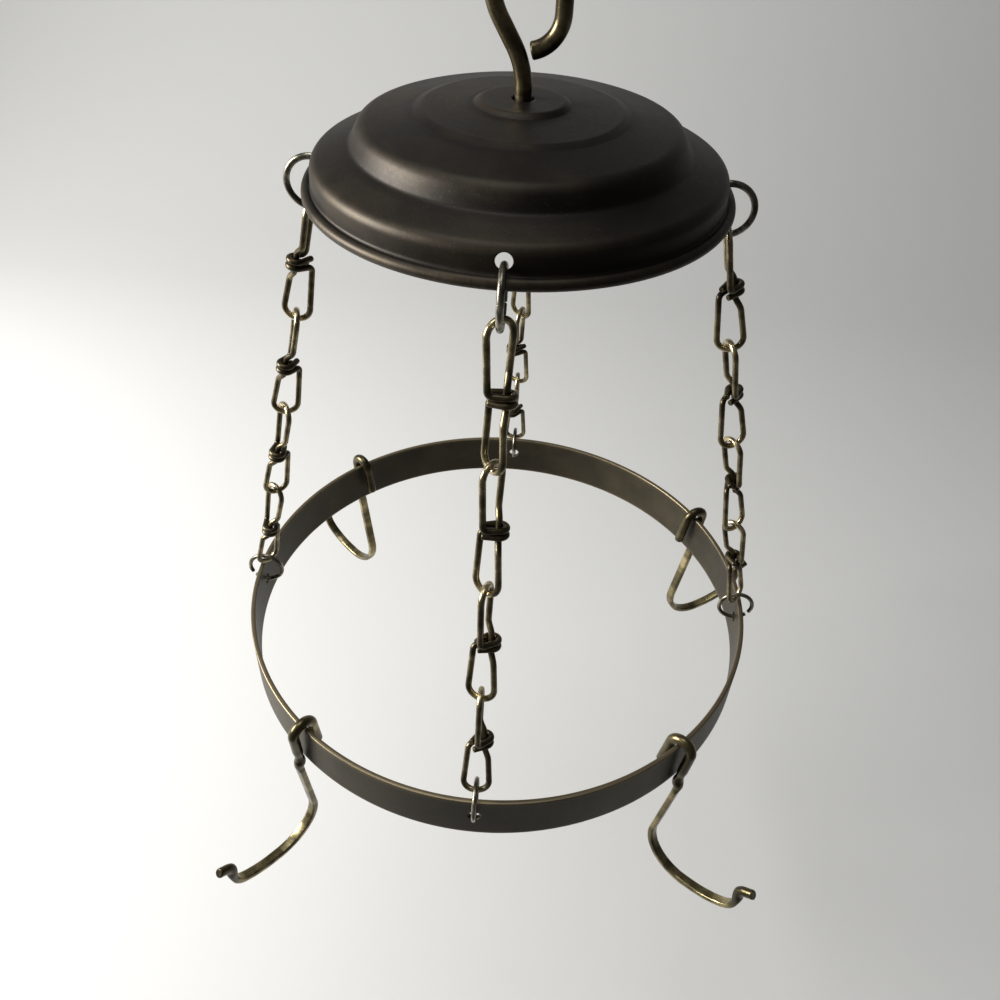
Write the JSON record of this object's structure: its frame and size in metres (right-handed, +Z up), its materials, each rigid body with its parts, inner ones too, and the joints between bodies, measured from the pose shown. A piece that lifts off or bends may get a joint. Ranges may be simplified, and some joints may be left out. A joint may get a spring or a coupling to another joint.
{
  "type": "hanging pot rack",
  "caption": "Hanging pot rack: a stepped pressed dome on a ceiling hook carries a flat metal hoop on knotted-link chains, with open bent hooks for pots that slide round the hoop.",
  "frame": {"origin": "inside top of the ceiling hook's eye, on the common vertical axis of dome and hoop", "axes": "+Z up along the axis of dome and hoop, -Y towards the front chain, +X to the right; the eye lies in the XZ plane"},
  "size_m": [0.3071, 0.2909, 0.4125],
  "materials": {
    "dark_iron": "dark bronzed steel sheet, satin, worn",
    "hoop_iron": "dark bronzed flat steel band, satin",
    "chain_wire": "antique brass-plated wire, dull, darkened",
    "hook_bar": "antique brass-plated bar, satin, darkened"
  },
  "bodies": {
    "hook": {"ceiling_hook": "hook_bar", "hook_washer": "dark_iron", "hook_nut": "dark_iron"},
    "dome": {"dome": "dark_iron"},
    "hoop": {"hoop": "hoop_iron"},
    "top_ring_front": {"top_ring_front": "chain_wire"},
    "front_link_1": {"front_link_1": "chain_wire"},
    "front_link_2": {"front_link_2": "chain_wire"},
    "front_link_3": {"front_link_3": "chain_wire"},
    "front_link_4": {"front_link_4": "chain_wire"},
    "lower_ring_front": {"lower_ring_front": "chain_wire"},
    "top_ring_right": {"top_ring_right": "chain_wire"},
    "right_link_1": {"right_link_1": "chain_wire"},
    "right_link_2": {"right_link_2": "chain_wire"},
    "right_link_3": {"right_link_3": "chain_wire"},
    "right_link_4": {"right_link_4": "chain_wire"},
    "lower_ring_right": {"lower_ring_right": "chain_wire"},
    "top_ring_back": {"top_ring_back": "chain_wire"},
    "back_link_1": {"back_link_1": "chain_wire"},
    "back_link_2": {"back_link_2": "chain_wire"},
    "back_link_3": {"back_link_3": "chain_wire"},
    "back_link_4": {"back_link_4": "chain_wire"},
    "lower_ring_back": {"lower_ring_back": "chain_wire"},
    "top_ring_left": {"top_ring_left": "chain_wire"},
    "left_link_1": {"left_link_1": "chain_wire"},
    "left_link_2": {"left_link_2": "chain_wire"},
    "left_link_3": {"left_link_3": "chain_wire"},
    "left_link_4": {"left_link_4": "chain_wire"},
    "lower_ring_left": {"lower_ring_left": "chain_wire"},
    "pot_hook_front_left": {"pot_hook_front_left": "hook_bar"},
    "pot_hook_front_right": {"pot_hook_front_right": "hook_bar"},
    "pot_hook_back_left": {"pot_hook_back_left": "hook_bar"},
    "pot_hook_back_right": {"pot_hook_back_right": "hook_bar"}
  },
  "joints": [
    {"name": "dome_turn", "type": "hinge", "parent": "hook", "child": "dome", "pos_m": [0, 0, 0], "axis": [0, 0, 1], "continuous": true},
    {"name": "sway_front", "type": "hinge", "parent": "dome", "child": "top_ring_front", "pos_m": [0, -0.08005, -0.07573], "axis": [1, 0, 0], "range_deg": [-8, 8]},
    {"name": "fold_front_1", "type": "hinge", "parent": "top_ring_front", "child": "front_link_1", "pos_m": [0, -0.0842, -0.09452], "axis": [-1, 0, 0], "range_deg": [0, 15]},
    {"name": "fold_front_2", "type": "hinge", "parent": "front_link_1", "child": "front_link_2", "pos_m": [0, -0.09603, -0.14817], "axis": [-1, 0, 0], "range_deg": [-29, 0]},
    {"name": "fold_front_3", "type": "hinge", "parent": "front_link_2", "child": "front_link_3", "pos_m": [0, -0.10753, -0.20031], "axis": [-1, 0, 0], "range_deg": [0, 28]},
    {"name": "fold_front_4", "type": "hinge", "parent": "front_link_3", "child": "front_link_4", "pos_m": [0, -0.11903, -0.25244], "axis": [-1, 0, 0], "range_deg": [-30, 0]},
    {"name": "fold_front_5", "type": "hinge", "parent": "front_link_4", "child": "lower_ring_front", "pos_m": [0, -0.13053, -0.30458], "axis": [-1, 0, 0], "range_deg": [0, 16]},
    {"name": "sway_right", "type": "hinge", "parent": "dome", "child": "top_ring_right", "pos_m": [0.08005, 0, -0.07573], "axis": [1, 0, 0], "range_deg": [-18, 18]},
    {"name": "fold_right_1", "type": "hinge", "parent": "top_ring_right", "child": "right_link_1", "pos_m": [0.08386, 0, -0.09301], "axis": [0, -1, 0], "range_deg": [0, 16]},
    {"name": "fold_right_2", "type": "hinge", "parent": "right_link_1", "child": "right_link_2", "pos_m": [0.09536, 0, -0.14514], "axis": [0, -1, 0], "range_deg": [-31, 0]},
    {"name": "fold_right_3", "type": "hinge", "parent": "right_link_2", "child": "right_link_3", "pos_m": [0.10686, 0, -0.19728], "axis": [0, -1, 0], "range_deg": [0, 31]},
    {"name": "fold_right_4", "type": "hinge", "parent": "right_link_3", "child": "right_link_4", "pos_m": [0.1187, 0, -0.25093], "axis": [0, -1, 0], "range_deg": [-29, 0]},
    {"name": "fold_right_5", "type": "hinge", "parent": "right_link_4", "child": "lower_ring_right", "pos_m": [0.13022, 0, -0.30318], "axis": [0, -1, 0], "range_deg": [0, 14]},
    {"name": "sway_back", "type": "hinge", "parent": "dome", "child": "top_ring_back", "pos_m": [0, 0.08005, -0.07573], "axis": [1, 0, 0], "range_deg": [-18, 18]},
    {"name": "fold_back_1", "type": "hinge", "parent": "top_ring_back", "child": "back_link_1", "pos_m": [0, 0.0842, -0.09452], "axis": [1, 0, 0], "range_deg": [0, 16]},
    {"name": "fold_back_2", "type": "hinge", "parent": "back_link_1", "child": "back_link_2", "pos_m": [0, 0.09603, -0.14817], "axis": [1, 0, 0], "range_deg": [-29, 0]},
    {"name": "fold_back_3", "type": "hinge", "parent": "back_link_2", "child": "back_link_3", "pos_m": [0, 0.10753, -0.20031], "axis": [1, 0, 0], "range_deg": [0, 28]},
    {"name": "fold_back_4", "type": "hinge", "parent": "back_link_3", "child": "back_link_4", "pos_m": [0, 0.11903, -0.25244], "axis": [1, 0, 0], "range_deg": [-30, 0]},
    {"name": "fold_back_5", "type": "hinge", "parent": "back_link_4", "child": "lower_ring_back", "pos_m": [0, 0.13053, -0.30458], "axis": [1, 0, 0], "range_deg": [0, 16]},
    {"name": "sway_left", "type": "hinge", "parent": "dome", "child": "top_ring_left", "pos_m": [-0.08005, 0, -0.07573], "axis": [1, 0, 0], "range_deg": [-18, 18]},
    {"name": "fold_left_1", "type": "hinge", "parent": "top_ring_left", "child": "left_link_1", "pos_m": [-0.08386, 0, -0.09301], "axis": [0, 1, 0], "range_deg": [0, 16]},
    {"name": "fold_left_2", "type": "hinge", "parent": "left_link_1", "child": "left_link_2", "pos_m": [-0.09536, 0, -0.14514], "axis": [0, 1, 0], "range_deg": [-31, 0]},
    {"name": "fold_left_3", "type": "hinge", "parent": "left_link_2", "child": "left_link_3", "pos_m": [-0.10686, 0, -0.19728], "axis": [0, 1, 0], "range_deg": [0, 31]},
    {"name": "fold_left_4", "type": "hinge", "parent": "left_link_3", "child": "left_link_4", "pos_m": [-0.1187, 0, -0.25093], "axis": [0, 1, 0], "range_deg": [-29, 0]},
    {"name": "fold_left_5", "type": "hinge", "parent": "left_link_4", "child": "lower_ring_left", "pos_m": [-0.13022, 0, -0.30318], "axis": [0, 1, 0], "range_deg": [0, 14]},
    {"name": "hoop_swing", "type": "hinge", "parent": "lower_ring_front", "child": "hoop", "pos_m": [0, -0.13375, -0.31917], "axis": [1, 0, 0], "range_deg": [-11, 11]},
    {"name": "slide_front_left", "type": "hinge", "parent": "hoop", "child": "pot_hook_front_left", "pos_m": [0, 0, -0.30878], "axis": [0, 0, 1], "range_deg": [-25, 25]},
    {"name": "slide_front_right", "type": "hinge", "parent": "hoop", "child": "pot_hook_front_right", "pos_m": [0, 0, -0.30878], "axis": [0, 0, 1], "range_deg": [-25, 25]},
    {"name": "slide_back_left", "type": "hinge", "parent": "hoop", "child": "pot_hook_back_left", "pos_m": [0, 0, -0.30878], "axis": [0, 0, 1], "range_deg": [-25, 25]},
    {"name": "slide_back_right", "type": "hinge", "parent": "hoop", "child": "pot_hook_back_right", "pos_m": [0, 0, -0.30878], "axis": [0, 0, 1], "range_deg": [-25, 25]}
  ],
  "couplings": [
    {"joint": "fold_front_2", "follows": "fold_front_1", "ratio": -1.86},
    {"joint": "fold_front_3", "follows": "fold_front_1", "ratio": 1.78},
    {"joint": "fold_front_4", "follows": "fold_front_1", "ratio": -1.92},
    {"joint": "fold_front_5", "follows": "fold_front_1", "ratio": 1},
    {"joint": "sway_right", "follows": "sway_front", "ratio": 1},
    {"joint": "fold_right_1", "follows": "fold_front_1", "ratio": 0.9755},
    {"joint": "fold_right_2", "follows": "fold_front_1", "ratio": -1.9693},
    {"joint": "fold_right_3", "follows": "fold_front_1", "ratio": 1.9415},
    {"joint": "fold_right_4", "follows": "fold_front_1", "ratio": -1.8136},
    {"joint": "fold_right_5", "follows": "fold_front_1", "ratio": 0.8659},
    {"joint": "sway_back", "follows": "sway_front", "ratio": 1},
    {"joint": "fold_back_1", "follows": "fold_front_1", "ratio": 1},
    {"joint": "fold_back_2", "follows": "fold_front_1", "ratio": -1.86},
    {"joint": "fold_back_3", "follows": "fold_front_1", "ratio": 1.78},
    {"joint": "fold_back_4", "follows": "fold_front_1", "ratio": -1.92},
    {"joint": "fold_back_5", "follows": "fold_front_1", "ratio": 1},
    {"joint": "sway_left", "follows": "sway_front", "ratio": 1},
    {"joint": "fold_left_1", "follows": "fold_front_1", "ratio": 0.9755},
    {"joint": "fold_left_2", "follows": "fold_front_1", "ratio": -1.9693},
    {"joint": "fold_left_3", "follows": "fold_front_1", "ratio": 1.9415},
    {"joint": "fold_left_4", "follows": "fold_front_1", "ratio": -1.8136},
    {"joint": "fold_left_5", "follows": "fold_front_1", "ratio": 0.8659},
    {"joint": "hoop_swing", "follows": "sway_front", "ratio": -0.5985}
  ]
}
